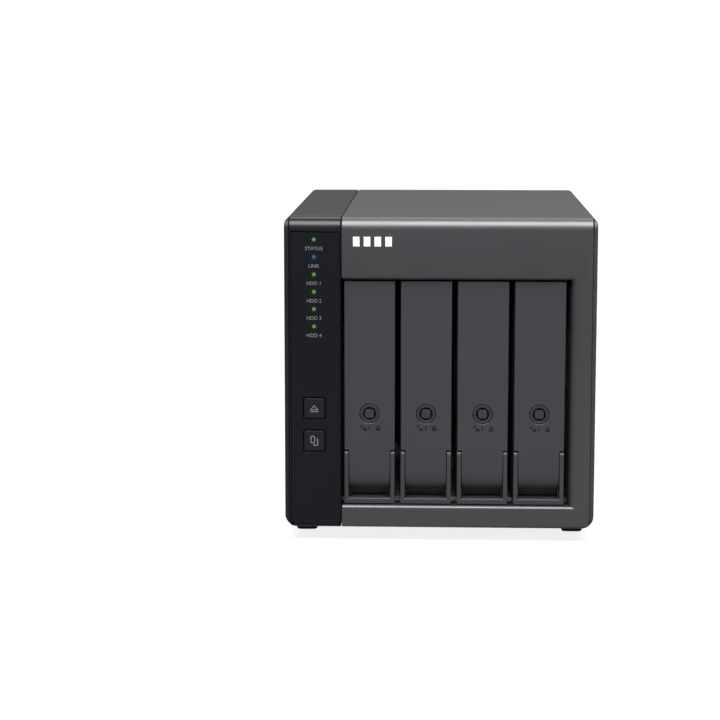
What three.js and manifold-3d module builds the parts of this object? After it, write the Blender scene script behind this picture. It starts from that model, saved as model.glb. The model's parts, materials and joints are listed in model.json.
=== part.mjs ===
// A four-bay desktop drive enclosure, in millimetres.
// +Z is up, the front faces -Y, and the origin is on the table under the middle of the casing.
import * as THREE from "three";
import { mergeVertices } from "three/addons/utils/BufferGeometryUtils.js";
import Module from "manifold-3d";

const wasm = await Module();
wasm.setup();

// ---------- driving dimensions ----------
const WIDTH = 160;
const DEPTH = 219;
const HEIGHT = 168.5;
const FOOT_HEIGHT = 7.5;
const WALL = 2.4; // casing wall
const GAP = 0.2; // assembly gap between pieces that meet
const TOP_CORNER = 3.5; // casing corner radii seen from the front
const BOTTOM_CORNER = 6.5;
const BROW_RADIUS = 6; // the rounded edge where the front turns into the top
const TOE_RADIUS = 1.2; // the small one along the bottom of the front

const BAYS = 4;
const BAY_PITCH = 29.22;
const FIRST_BAY_X = -36.25;
const TRAY_FACE_WIDTH = 26.15;
const TRAY_BOTTOM = 20.4;
const TRAY_TOP = 135.9;
const TRAY_INSET = 2.5; // tray faces sit this far behind the front of the bezel

// ---------- places worked out from them ----------
const FRONT = -DEPTH / 2;
const BACK = DEPTH / 2;
const RIGHT = WIDTH / 2;
const FLOOR = FOOT_HEIGHT;
const ROOF = HEIGHT;
const SPLIT_X = -50.8; // where the dark left part meets the grey right part
const TRAY_MID_Z = (TRAY_BOTTOM + TRAY_TOP) / 2;
const TRAY_FACE_Y = FRONT + TRAY_INSET;
const bayX = (n) => FIRST_BAY_X + n * BAY_PITCH;

const CAGE = { x0: -52.4, x1: 67.8, z0: 18, z1: 138.4, y0: -95, y1: 69.8, sheet: 1.2 };
const FAN = { x: 8.1, z: 88, size: 120, thick: 25, bore: 57, y0: 79.7, hub: 19, screw: 52.5 };
const REAR_PANEL = { y0: 105.1, y1: 107.5 };
const BOARD = { x0: -60, x1: -58.4 }; // the main board stands on edge beside the cage
const CONTROL_X = -64.7; // lights and buttons share this line
const SET_Z = 90; // the rear buttons, which the main board's switches sit behind
const POWER_Z = 136;

// ---------- materials ----------
function finish(color, roughness, metalness = 0) {
  return new THREE.MeshStandardMaterial({ color, roughness, metalness });
}
const greyPlastic = finish(0x4c4d51, 0.55);
const trayPlastic = finish(0x4e4f53, 0.6);
const blackPlastic = finish(0x232427, 0.45);
const glossBlack = finish(0x212226, 0.3);
const innerPlastic = finish(0x2b2c2e, 0.6);
const sheetSteel = finish(0x9a9c9f, 0.4, 0.9);
const brightMetal = finish(0xc4c6c9, 0.25, 1);
const rubber = finish(0x1b1b1c, 0.9);
const circuitBoard = finish(0x1d4a2c, 0.5);
const lightPipePlastic = finish(0x9fd48c, 0.3);
const fanPlastic = finish(0x1a1a1b, 0.5);
const guardSteel = finish(0x2a2a2b, 0.4, 0.8);
const whitePlastic = finish(0xd8d8d4, 0.5);

// ---------- solids ----------
function solid(geometry) {
  const bare = geometry.clone();
  bare.deleteAttribute("normal");
  bare.deleteAttribute("uv");
  const merged = mergeVertices(bare, 1e-4);
  return new wasm.Manifold(
    new wasm.Mesh({
      numProp: 3,
      vertProperties: merged.attributes.position.array,
      triVerts: new Uint32Array(merged.index.array),
    }),
  );
}

function geometryOf(made) {
  const mesh = made.getMesh();
  const geometry = new THREE.BufferGeometry();
  geometry.setAttribute("position", new THREE.BufferAttribute(mesh.vertProperties, 3));
  geometry.setIndex(new THREE.BufferAttribute(mesh.triVerts, 1));
  const flat = geometry.toNonIndexed();
  flat.computeVertexNormals();
  return flat;
}

const join = (...pieces) => pieces.reduce((all, piece) => all.add(piece));
const cut = (base, ...tools) => tools.reduce((left, tool) => left.subtract(tool), base);

// A block between two values on each axis.
function block([x0, x1], [y0, y1], [z0, z1]) {
  const box = new THREE.BoxGeometry(x1 - x0, y1 - y0, z1 - z0);
  return solid(box.translate((x0 + x1) / 2, (y0 + y1) / 2, (z0 + z1) / 2));
}

// An outline drawn in X and Z, carried along Y.
function alongY(outline, [y0, y1], segments = 6) {
  const options = { depth: y1 - y0, bevelEnabled: false, curveSegments: segments };
  const shape = new THREE.ExtrudeGeometry(outline, options);
  return solid(shape.rotateX(Math.PI / 2).translate(0, y1, 0));
}

// An outline drawn in Y and Z, carried along X.
function alongX(outline, [x0, x1], segments = 6) {
  const options = { depth: x1 - x0, bevelEnabled: false, curveSegments: segments };
  const shape = new THREE.ExtrudeGeometry(outline, options);
  const turn = new THREE.Matrix4().makeBasis(
    new THREE.Vector3(0, 1, 0),
    new THREE.Vector3(0, 0, 1),
    new THREE.Vector3(1, 0, 0),
  );
  return solid(shape.applyMatrix4(turn).translate(x0, 0, 0));
}

// An outline drawn in X and Y, carried along Z.
function alongZ(outline, [z0, z1], segments = 6) {
  const options = { depth: z1 - z0, bevelEnabled: false, curveSegments: segments };
  return solid(new THREE.ExtrudeGeometry(outline, options).translate(0, 0, z0));
}

// A round bar along Y, or along X.
function rodY(x, z, radius, [y0, y1], sides = 24) {
  const rod = new THREE.CylinderGeometry(radius, radius, y1 - y0, sides);
  return solid(rod.translate(x, (y0 + y1) / 2, z));
}
function rodX(y, z, radius, [x0, x1], sides = 12) {
  const rod = new THREE.CylinderGeometry(radius, radius, x1 - x0, sides).rotateZ(Math.PI / 2);
  return solid(rod.translate((x0 + x1) / 2, y, z));
}

// A rectangle with its own radius at the lower and the upper corners.
function roundedRectangle([u0, u1], [v0, v1], low, high = low) {
  const shape = new THREE.Shape();
  shape.moveTo(u0 + low, v0);
  shape.lineTo(u1 - low, v0);
  shape.absarc(u1 - low, v0 + low, low, -Math.PI / 2, 0);
  shape.lineTo(u1, v1 - high);
  shape.absarc(u1 - high, v1 - high, high, 0, Math.PI / 2);
  shape.lineTo(u0 + high, v1);
  shape.absarc(u0 + high, v1 - high, high, Math.PI / 2, Math.PI);
  shape.lineTo(u0, v0 + low);
  shape.absarc(u0 + low, v0 + low, low, Math.PI, 1.5 * Math.PI);
  return shape;
}

const group = new THREE.Group();
function place(parent, name, made, material, position = [0, 0, 0]) {
  const mesh = new THREE.Mesh(geometryOf(made), material);
  mesh.name = name;
  mesh.position.set(...position);
  parent.add(mesh);
  return mesh;
}

// ---------- the casing ----------
const casingOutline = (inset) =>
  roundedRectangle(
    [-RIGHT + inset, RIGHT - inset],
    [FLOOR + inset, ROOF - inset],
    BOTTOM_CORNER - inset,
    TOP_CORNER - inset,
  );

// The casing from the side: square at the back, rounded at the brow and the toe.
function sideOutline(y0, y1) {
  const shape = new THREE.Shape();
  shape.moveTo(y1, FLOOR);
  shape.lineTo(y1, ROOF);
  shape.lineTo(y0 + BROW_RADIUS, ROOF);
  shape.absarc(y0 + BROW_RADIUS, ROOF - BROW_RADIUS, BROW_RADIUS, Math.PI / 2, Math.PI);
  shape.lineTo(y0, FLOOR + TOE_RADIUS);
  shape.absarc(y0 + TOE_RADIUS, FLOOR + TOE_RADIUS, TOE_RADIUS, Math.PI, 1.5 * Math.PI);
  return shape;
}

// Everything inside the casing's outer skin between two depths.
function casingBlock(y0, y1) {
  const across = alongY(casingOutline(0), [y0, y1], 5);
  return across.intersect(alongX(sideOutline(y0, y1), [-RIGHT, RIGHT], 6));
}

const SIDE_STRIP = 2.4; // the side walls show as strips this wide beside the front
const COLUMN_TOP_DEPTH = 21.3; // how far the control column reaches back along the top
const COLUMN_DEPTH = 12; // and everywhere below
const BEZEL_DEPTH = BROW_RADIUS;
const EVERYWHERE = 200;

function casingShell() {
  const lip = 0.3; // the side walls stop just short of the front
  const inside = alongY(casingOutline(WALL), [FRONT - 1, BACK], 5);
  return cut(casingBlock(FRONT + lip, REAR_PANEL.y1), inside);
}

function bottomVents() {
  const slots = [];
  for (let n = 0; n < 9; n++) {
    const x = -42 + n * 12;
    slots.push(block([x - 1.6, x + 1.6], [-30, 30], [FLOOR - 1, FLOOR + WALL + 1]));
  }
  return join(...slots);
}

function leftCover() {
  const side = block([-RIGHT - 1, SPLIT_X - GAP], [FRONT - 1, BACK], [0, EVERYWHERE]);
  const inner = -RIGHT + SIDE_STRIP;
  const lowRoom = block([inner, 0], [FRONT - 1, FRONT + COLUMN_DEPTH + GAP], [0, 150]);
  const topRoom = block([inner, 0], [FRONT - 1, FRONT + COLUMN_TOP_DEPTH + GAP], [149, EVERYWHERE]);
  return cut(casingShell().intersect(side), lowRoom, topRoom);
}

function rightCover() {
  const side = block([SPLIT_X + GAP, RIGHT + 1], [FRONT - 1, BACK], [0, EVERYWHERE]);
  const inner = RIGHT - SIDE_STRIP + 0.4;
  const bezelRoom = block([-RIGHT, inner], [FRONT - 1, FRONT + BEZEL_DEPTH + GAP], [0, EVERYWHERE]);
  return cut(casingShell().intersect(side), bezelRoom, bottomVents());
}

// ---------- the front ----------
const OPENING = { x1: 66.7, z0: 19.1, z1: 136.7, collar: 14, topEdge: 3, edge: 2, rightEdge: 5 };

// The opening's tool: as wide as the mouth at the front, narrowing through quarter rounds.
function bayMouth() {
  const { x1, z0, z1, topEdge, edge, rightEdge } = OPENING;
  const plan = new THREE.Shape();
  plan.moveTo(-RIGHT, FRONT - 1);
  plan.lineTo(x1 + rightEdge, FRONT - 1);
  plan.lineTo(x1 + rightEdge, FRONT);
  plan.absarc(x1 + rightEdge, FRONT + rightEdge, rightEdge, -Math.PI / 2, -Math.PI, true);
  plan.lineTo(x1, 0);
  plan.lineTo(-RIGHT, 0);
  const side = new THREE.Shape();
  side.moveTo(FRONT - 1, z0 - edge);
  side.lineTo(FRONT, z0 - edge);
  side.absarc(FRONT + edge, z0 - edge, edge, Math.PI, Math.PI / 2, true);
  side.lineTo(0, z0);
  side.lineTo(0, z1);
  side.lineTo(FRONT + topEdge, z1);
  side.absarc(FRONT + topEdge, z1 + topEdge, topEdge, -Math.PI / 2, -Math.PI, true);
  side.lineTo(FRONT - 1, z1 + topEdge);
  return alongZ(plan, [0, EVERYWHERE], 8).intersect(alongX(side, [-RIGHT, RIGHT], 8));
}

function frontBezel() {
  const x0 = SPLIT_X + GAP;
  const x1 = RIGHT - SIDE_STRIP + 0.2;
  const face = casingBlock(FRONT, FRONT + BEZEL_DEPTH).intersect(
    block([x0, x1], [FRONT - 1, 0], [0, EVERYWHERE]),
  );
  const hollow = block(
    [x0 - 1, x1 - 2],
    [FRONT + 2.6, 0],
    [FLOOR + 2, ROOF - WALL - 0.4],
  );
  const { z0, z1, collar } = OPENING;
  const collarOuter = block([x0, OPENING.x1 + 2], [FRONT + 1, FRONT + collar], [z0 - 2, z1 + 2]);
  return cut(join(cut(face, hollow), collarOuter), bayMouth());
}

const FASCIA = { x0: -76.6, x1: -51.4, z0: 8.8, z1: 160.8, thick: 1.8, corner: 3, sink: 0.3 };
const CAP_Z = 161.6; // the underside of the cap that the column forms over the fascia
const LIGHTS = { first: 157.4, pitch: 8.96, count: 6, size: 2.1 };
const BUTTON = { size: 10.5, clear: 0.65, corner: 1, eject: 69.9, copy: 52.9 };

function controlColumn() {
  const x0 = -RIGHT + SIDE_STRIP + GAP;
  const x1 = SPLIT_X - GAP;
  const y1 = FRONT + COLUMN_TOP_DEPTH;
  const skin = casingBlock(FRONT, y1).intersect(block([x0, x1], [FRONT - 1, 0], [0, EVERYWHERE]));
  const hollow = block([x0 + 2, x1 - 1.8], [FRONT + 4.5, 0], [FLOOR + WALL, ROOF - WALL]);
  const clear = 0.15;
  const seat = block(
    [FASCIA.x0 - clear, FASCIA.x1 + clear],
    [FRONT - 1, FRONT + FASCIA.sink + FASCIA.thick + GAP],
    [FASCIA.z0 - clear, CAP_Z],
  );
  const window = block([-74, -54], [FRONT, 0], [34, 160]);
  const behind = block([x0 - 1, x1 + 1], [FRONT + COLUMN_DEPTH, 0], [0, ROOF - WALL]);
  return cut(skin, hollow, seat, window, behind);
}

// The fascia's outline: square but for the lower left corner, which follows the casing's.
function fasciaOutline() {
  const { x0, x1, z0, z1, corner } = FASCIA;
  const shape = new THREE.Shape();
  shape.moveTo(x0 + corner, z0);
  shape.lineTo(x1, z0);
  shape.lineTo(x1, z1);
  shape.lineTo(x0, z1);
  shape.lineTo(x0, z0 + corner);
  shape.absarc(x0 + corner, z0 + corner, corner, Math.PI, 1.5 * Math.PI);
  return shape;
}

function controlFascia() {
  const y0 = FRONT + FASCIA.sink;
  const plate = alongY(fasciaOutline(), [y0, y0 + FASCIA.thick], 4);
  const through = [y0 - 1, y0 + FASCIA.thick + 1];
  const holes = [];
  for (let n = 0; n < LIGHTS.count; n++) {
    const z = LIGHTS.first - n * LIGHTS.pitch;
    const half = LIGHTS.size / 2 + 0.15;
    holes.push(block([CONTROL_X - half, CONTROL_X + half], through, [z - half, z + half]));
  }
  for (const z of [BUTTON.eject, BUTTON.copy]) {
    const half = BUTTON.size / 2 + BUTTON.clear;
    const corner = BUTTON.corner + BUTTON.clear;
    const outline = roundedRectangle([CONTROL_X - half, CONTROL_X + half], [z - half, z + half], corner);
    holes.push(alongY(outline, through, 3));
  }
  return cut(plate, join(...holes));
}

// One moulding: a spine behind the fascia with a finger to each light.
function lightPipe() {
  const low = LIGHTS.first - (LIGHTS.count - 1) * LIGHTS.pitch;
  const pieces = [block([CONTROL_X - 1.8, CONTROL_X + 1.8], [-101, -99.4], [low - 2, LIGHTS.first + 2])];
  const half = LIGHTS.size / 2;
  for (let n = 0; n < LIGHTS.count; n++) {
    const z = LIGHTS.first - n * LIGHTS.pitch;
    pieces.push(block([CONTROL_X - half, CONTROL_X + half], [FRONT + 0.2, -100], [z - half, z + half]));
  }
  return join(...pieces);
}

// A square cap, the flange that keeps it in, and the stem that reaches its switch.
function pushButton() {
  const half = BUTTON.size / 2;
  const capOutline = roundedRectangle([-half, half], [-half, half], BUTTON.corner);
  const cap = alongY(capOutline, [FRONT + 0.1, -106.4], 3);
  const flange = block([-half - 1, half + 1], [-106.6, -105.5], [-half - 1, half + 1]);
  return join(cap, flange, rodY(0, 0, 1.8, [-105.7, -101], 12));
}

function frontBoard() {
  const board = block([-75, -53.4], [-97, -95.4], [42, 163]);
  const switches = [BUTTON.eject, BUTTON.copy].map((z) =>
    block([CONTROL_X - 3, CONTROL_X + 3], [-99.6, -96.9], [z - 3, z + 3]),
  );
  return join(board, ...switches);
}

place(group, "left_cover", leftCover(), blackPlastic);
place(group, "right_cover", rightCover(), greyPlastic);
place(group, "front_bezel", frontBezel(), greyPlastic);
place(group, "control_column", controlColumn(), blackPlastic);
place(group, "control_fascia", controlFascia(), glossBlack);
place(group, "light_pipe", lightPipe(), lightPipePlastic);
place(group, "front_board", frontBoard(), circuitBoard);
place(group, "eject_button", pushButton(), blackPlastic, [CONTROL_X, 0, BUTTON.eject]);
place(group, "copy_button", pushButton(), blackPlastic, [CONTROL_X, 0, BUTTON.copy]);

// ---------- the drive cage and what it holds ----------
const RIB = { liner: 0.8, tall: 1.8, wide: 1.8, at: 2.4, y0: -91, y1: 66 };
const RIDGE_HALF = 2; // half the width of the ridge that runs between two ribs

// A side sheet with a row of upright vent slots.
function cageSide(x0) {
  const { y0, y1, z0, z1, sheet } = CAGE;
  const slots = [];
  for (let n = 0; n < 6; n++) {
    const y = y0 + 14 + n * 25;
    slots.push(block([x0 - 1, x0 + sheet + 1], [y, y + 13], [46, 110]));
  }
  return cut(block([x0, x0 + sheet], [y0, y1], [z0 + sheet + GAP, z1 - sheet - GAP]), ...slots);
}

// The floor or the roof: a sheet with a liner that has two ribs for each tray.
// up is 1 for the floor and -1 for the roof.
function cageDeck(z, up) {
  const zs = (a, b) => (up > 0 ? [z + a, z + b] : [z - b, z - a]);
  const inset = CAGE.sheet + 0.3;
  const top = CAGE.sheet + 0.1 + RIB.liner;
  const pieces = [
    block([CAGE.x0, CAGE.x1], [CAGE.y0, CAGE.y1], zs(0, CAGE.sheet)),
    block([CAGE.x0 + inset, CAGE.x1 - inset], [RIB.y0, RIB.y1], zs(CAGE.sheet / 2, top)),
  ];
  for (let n = 0; n < BAYS; n++) {
    for (const side of [-1, 1]) {
      const a = bayX(n) + side * RIB.at;
      const b = a + side * RIB.wide;
      pieces.push(block([Math.min(a, b), Math.max(a, b)], [RIB.y0, RIB.y1], zs(top / 2, top + RIB.tall)));
    }
  }
  return join(...pieces);
}

const BACKPLANE = { y0: 70, y1: 71.6, ventFrom: 0.5, ventWide: 6.5 };
function backplaneBoard() {
  const { x0, x1, z0, z1 } = CAGE;
  const board = block([x0 + GAP, x1 - GAP], [BACKPLANE.y0, BACKPLANE.y1], [z0 + GAP, z1 - GAP]);
  const vents = [];
  for (let n = 0; n < BAYS; n++) {
    const x = bayX(n) + BACKPLANE.ventFrom;
    vents.push(block([x, x + BACKPLANE.ventWide], [0, BACK], [30, 128]));
  }
  return cut(board, join(...vents));
}

// An upright edge connector with a long slot in its mouth.
function driveConnector() {
  const body = block([-2.8, 2.8], [62.6, BACKPLANE.y0 - GAP], [-21, 21]);
  return cut(body, block([-0.4, 1.4], [60, 67], [-19.5, 19.5]));
}

function mainBoard() {
  const board = block([BOARD.x0, BOARD.x1], [-50, 104], [16, 146]);
  const chip = block([BOARD.x0 - 1.4, BOARD.x0 + 0.2], [30, 44], [60, 74]);
  const capacitors = block([BOARD.x0 - 8, BOARD.x0 + 0.2], [60, 76], [24, 40]);
  const switches = [SET_Z, POWER_Z].map((z) =>
    block([BOARD.x0 - 11, BOARD.x0 + 0.2], [91, 99.2], [z - 3.5, z + 3.5]),
  );
  return join(board, chip, capacitors, ...switches);
}

function heatSink() {
  const [y0, y1] = [-20, 15];
  const base = block([BOARD.x0 - 2.2, BOARD.x0 - GAP], [y0, y1], [80, 115]);
  const fins = [];
  for (let n = 0; n < 7; n++) {
    const y = y0 + n * 5.6;
    fins.push(block([BOARD.x0 - 12, BOARD.x0 - 2], [y, y + 1.4], [80, 115]));
  }
  return join(base, ...fins);
}

place(group, "cage_left_side", cageSide(CAGE.x0), sheetSteel);
place(group, "cage_right_side", cageSide(CAGE.x1 - CAGE.sheet), sheetSteel);
place(group, "cage_floor", cageDeck(CAGE.z0, 1), sheetSteel);
place(group, "cage_roof", cageDeck(CAGE.z1, -1), sheetSteel);
place(group, "backplane_board", backplaneBoard(), circuitBoard);
for (let n = 0; n < BAYS; n++) {
  const at = [bayX(n) - 8, 0, TRAY_MID_Z];
  place(group, `drive_connector_${n + 1}`, driveConnector(), innerPlastic, at);
}
place(group, "main_board", mainBoard(), circuitBoard);
place(group, "heat_sink", heatSink(), brightMetal);

// ---------- the back ----------
const PORT_X = -67.2;
const USB = { x: -62.2, z: 62, thick: 3.2, long: 8.9 };
const INLET = { x: -66.6, z: 32, radius: 3.2 };
const MODE = { x0: -71.5, x1: -60.3, z0: 102, z1: 120, first: 106, pitch: 5, travel: 3.5 };
const LOCK_SLOT_Z = 153;

const usbOutline = (grow) =>
  roundedRectangle(
    [USB.x - USB.thick / 2 - grow, USB.x + USB.thick / 2 + grow],
    [USB.z - USB.long / 2 - grow, USB.z + USB.long / 2 + grow],
    USB.thick / 2 + grow - 0.05,
  );

function rearPanel() {
  const clear = WALL + GAP;
  const plate = alongY(casingOutline(clear), [REAR_PANEL.y0, REAR_PANEL.y1], 4);
  const through = [REAR_PANEL.y0 - 1, REAR_PANEL.y1 + 1];
  const holes = [
    rodY(FAN.x, FAN.z, FAN.bore, through, 36),
    alongY(usbOutline(0.5), through, 4),
    rodY(INLET.x, INLET.z, 5.4, through, 20),
    block([MODE.x0 - 0.3, MODE.x1 + 0.3], through, [MODE.z0 - 0.3, MODE.z1 + 0.3]),
    rodY(PORT_X, SET_Z, 2.6, through, 16),
    rodY(PORT_X, POWER_Z, 5.4, through, 24),
    block([PORT_X - 3.5, PORT_X + 3.5], through, [LOCK_SLOT_Z - 1.5, LOCK_SLOT_Z + 1.5]),
  ];
  for (let n = 0; n < 7; n++) {
    const x = -34 + n * 14;
    holes.push(block([x - 1.7, x + 1.7], through, [153, 161]));
    holes.push(block([x - 1.7, x + 1.7], through, [14.5, 22.5]));
  }
  return cut(plate, join(...holes));
}

function usbPort() {
  const shell = alongY(usbOutline(0), [97, 107.9], 4);
  const cavity = alongY(usbOutline(-0.3), [98.5, 109], 4);
  const tongue = block([USB.x - 0.35, USB.x + 0.35], [98, 107], [USB.z - 3.2, USB.z + 3.2]);
  return join(cut(shell, cavity), tongue);
}

function powerInlet() {
  const body = block([INLET.x - 5, BOARD.x0 - GAP], [93, 104.8], [INLET.z - 5.5, INLET.z + 5.5]);
  const barrel = rodY(INLET.x, INLET.z, 5, [104, 107.9], 20);
  const socket = rodY(INLET.x, INLET.z, INLET.radius, [96, 109], 16);
  const pin = rodY(INLET.x, INLET.z, 1, [95, 106.5], 10);
  return join(cut(join(body, barrel), socket), pin);
}

function modeSwitchBody() {
  const body = block([MODE.x0, MODE.x1], [100, 107], [MODE.z0, MODE.z1]);
  const pockets = [];
  for (let n = 0; n < 3; n++) {
    const z = MODE.first + n * MODE.pitch;
    pockets.push(block([MODE.x0 + 2, MODE.x1 - 2], [104.2, 108], [z - 1.6, z + 1.6]));
  }
  return cut(body, join(...pockets));
}

function modeSlider() {
  const foot = block([MODE.x0 + 2.3, MODE.x0 + 5.3], [104.5, 105.6], [-1.3, 1.3]);
  return join(foot, block([MODE.x0 + 2.9, MODE.x0 + 4.7], [105.2, 107.9], [-1.1, 1.1]));
}

// A round plunger with a collar behind the rear panel.
function rearButton(radius, y1) {
  return join(rodY(0, 0, radius, [102, y1], 20), rodY(0, 0, radius + 1, [101, 102.4], 20));
}

function fanFrame() {
  const half = FAN.size / 2;
  const square = roundedRectangle([FAN.x - half, FAN.x + half], [FAN.z - half, FAN.z + half], 7);
  const y1 = FAN.y0 + FAN.thick;
  const bore = rodY(FAN.x, FAN.z, FAN.bore, [FAN.y0 - 1, y1 + 1], 36);
  const ring = cut(alongY(square, [FAN.y0, y1], 3), bore);
  const about = (centre, reach) => [centre - reach, centre + reach];
  const strut = 2; // half the width of the struts that hold the motor's mount
  const long = FAN.bore + 1;
  const strutDepth = [y1 - 3, y1 - 0.5];
  const across = [
    block(about(FAN.x, long), strutDepth, about(FAN.z, strut)),
    block(about(FAN.x, strut), strutDepth, about(FAN.z, long)),
    rodY(FAN.x, FAN.z, FAN.hub, [y1 - 3.4, y1 - 0.3], 24),
  ];
  const holes = [];
  for (const sx of [-1, 1]) {
    for (const sz of [-1, 1]) {
      holes.push(rodY(FAN.x + sx * FAN.screw, FAN.z + sz * FAN.screw, 2.2, [FAN.y0 - 1, y1 + 1], 10));
    }
  }
  return cut(join(ring, ...across), join(...holes));
}

// A hub with seven pitched blades, drawn about its own axle.
function fanRotor() {
  const blades = 7;
  const [y0, y1] = [FAN.y0 + 1.5, FAN.y0 + FAN.thick - 4];
  const pieces = [rodY(0, 0, FAN.hub, [y0, y1], 24)];
  const reach = FAN.bore - 1.6;
  for (let n = 0; n < blades; n++) {
    const blade = new THREE.BoxGeometry(reach - FAN.hub + 2, 1.6, 23);
    blade.rotateX(THREE.MathUtils.degToRad(52));
    blade.translate((reach + FAN.hub) / 2 - 1, (y0 + y1) / 2, 0);
    blade.rotateY((n * 2 * Math.PI) / blades);
    pieces.push(solid(blade));
  }
  return join(...pieces);
}

// Wire rings on four spokes, screwed on from behind.
function fanGuard() {
  const [y0, y1] = [REAR_PANEL.y1 + GAP, BACK];
  const wire = 1.7;
  const pieces = [16, 30, 44, 58].map((radius) =>
    cut(
      rodY(FAN.x, FAN.z, radius + wire / 2, [y0, y1], 24),
      rodY(FAN.x, FAN.z, radius - wire / 2, [y0 - 1, y1 + 1], 24),
    ),
  );
  for (const turn of [45, 135]) {
    const spoke = new THREE.BoxGeometry(2 * 71, y1 - y0 - 0.4, wire);
    spoke.rotateY(THREE.MathUtils.degToRad(turn));
    pieces.push(solid(spoke.translate(FAN.x, (y0 + y1) / 2, FAN.z)));
  }
  const eyes = [];
  for (const sx of [-1, 1]) {
    for (const sz of [-1, 1]) {
      pieces.push(rodY(FAN.x + sx * FAN.screw, FAN.z + sz * FAN.screw, 4, [y0, y1 - 0.3], 10));
      eyes.push(rodY(FAN.x + sx * FAN.screw, FAN.z + sz * FAN.screw, 1.9, [y0 - 1, y1 + 1], 8));
    }
  }
  return cut(join(...pieces), join(...eyes));
}

place(group, "rear_panel", rearPanel(), blackPlastic);
place(group, "usb_c_port", usbPort(), brightMetal);
place(group, "power_inlet", powerInlet(), innerPlastic);
place(group, "mode_switch_body", modeSwitchBody(), innerPlastic);
for (let n = 0; n < 3; n++) {
  place(group, `mode_slider_${n + 1}`, modeSlider(), whitePlastic, [0, 0, MODE.first + n * MODE.pitch]);
}
place(group, "set_button", rearButton(2.2, 107.2), whitePlastic, [PORT_X, 0, SET_Z]);
place(group, "power_button", rearButton(5, 108.6), blackPlastic, [PORT_X, 0, POWER_Z]);
place(group, "fan_frame", fanFrame(), fanPlastic);
place(group, "fan_rotor", fanRotor(), fanPlastic, [FAN.x, 0, FAN.z]);
place(group, "fan_guard", fanGuard(), guardSteel);

// ---------- feet ----------
const FOOT = { wide: 11, long: 26, x: 70.4, y: 70.5 };
function foot() {
  const outline = roundedRectangle([-FOOT.wide / 2, FOOT.wide / 2], [-FOOT.long / 2, FOOT.long / 2], 2.5);
  return alongZ(outline, [0, FOOT_HEIGHT - GAP], 4);
}
for (const [yName, sy] of [["front", -1], ["rear", 1]]) {
  for (const [xName, sx] of [["left", -1], ["right", 1]]) {
    place(group, `foot_${yName}_${xName}`, foot(), rubber, [sx * FOOT.x, sy * FOOT.y, 0]);
  }
}

// ---------- the trays ----------
const HANDLE = {
  top: 47.7,
  bottom: 19.5,
  arm: 2.22,
  bar: 2.9,
  thick: 5,
  pin: 1.1,
  pinEnd: 8.7, // how far from the middle the pins reach in
  clear: 0.35,
  pivotY: TRAY_FACE_Y + 2.5,
  pivotZ: 45.2,
};
// below the handle's pivots the face leans back a little and rolls over to a lip
const TONGUE = { half: 10.72, lip: 27, roll: 4.6, straight: 0.2, power: 7, skin: 0.02, steps: 14 };
const LOCK = { z: 67, radius: 4.85, hole: 5.15, groove: 3.5, depth: 3.5, post: 2.3, postCorner: 1.3 };
const TRAY_FRONT_BACK = -93;
const FRAME = { half: 13.9, base: 1.2, rail: 3, z0: 22.2, z1: 134.1, y0: -92.8, y1: 60, railTo: 8 };

// How far behind the face the tongue lies. share is 0 at the top and 1 from the lip down.
function tongueDepth(share) {
  const { roll, straight, power } = TONGUE;
  return roll * (straight * share + (1 - straight) * share ** power);
}

// What is cut away in front of the tongue: a block whose back is bent to the tongue's surface.
function tongueCutter() {
  const { lip, skin, steps } = TONGUE;
  const outline = new THREE.Shape();
  outline.moveTo(TRAY_FACE_Y - 1, HANDLE.top);
  for (let n = 0; n <= steps; n++) {
    const share = (n / steps) ** 0.5;
    outline.lineTo(TRAY_FACE_Y + skin + tongueDepth(share), HANDLE.top - share * (HANDLE.top - lip));
  }
  outline.lineTo(TRAY_FACE_Y + skin + tongueDepth(1), TRAY_BOTTOM - 1);
  outline.lineTo(TRAY_FACE_Y - 1, TRAY_BOTTOM - 1);
  const half = TONGUE.half + 0.1;
  return alongX(outline, [-half, half]);
}

function trayFront() {
  const half = TRAY_FACE_WIDTH / 2;
  const y0 = TRAY_FACE_Y;
  const body = block([-half, half], [y0, TRAY_FRONT_BACK], [TRAY_BOTTOM, TRAY_TOP]);
  const armRoom = [y0 - 1, y0 + HANDLE.thick + HANDLE.clear];
  const sides = [-1, 1].map((s) => {
    const xs = s < 0 ? [-half - 1, -TONGUE.half] : [TONGUE.half, half + 1];
    return block(xs, armRoom, [TRAY_BOTTOM - 1, HANDLE.top + 0.25]);
  });
  const barTop = HANDLE.bottom + HANDLE.bar;
  const barRoom = block([-half - 1, half + 1], armRoom, [TRAY_BOTTOM - 1, barTop + 0.5]);
  const fingerHalf = TONGUE.half - 0.6;
  const fingerBack = TRAY_FRONT_BACK - 1.6;
  const fingerRoom = block([-fingerHalf, fingerHalf], [y0 - 1, fingerBack], [barTop + 0.2, TONGUE.lip]);
  const hollow = cut(
    block([-half + 2, half - 2], [y0 + 2.3, 0], [HANDLE.top + 3, TRAY_TOP - 2.2]),
    rodY(0, LOCK.z, LOCK.hole + 2.2, [y0, 0], 20),
  );
  const lockHole = rodY(0, LOCK.z, LOCK.hole, [y0 - 1, 0], 24);
  const pivotHole = rodX(HANDLE.pivotY, HANDLE.pivotZ, HANDLE.pin + 0.2, [-half, half]);
  const blind = HANDLE.pinEnd - 0.3;
  const pivotBlind = block([-blind, blind], [y0 - 1, 0], [HANDLE.pivotZ - 2, HANDLE.pivotZ + 2]);
  return cut(
    body,
    ...sides,
    barRoom,
    tongueCutter(),
    fingerRoom,
    hollow,
    lockHole,
    cut(pivotHole, pivotBlind),
  );
}

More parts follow.
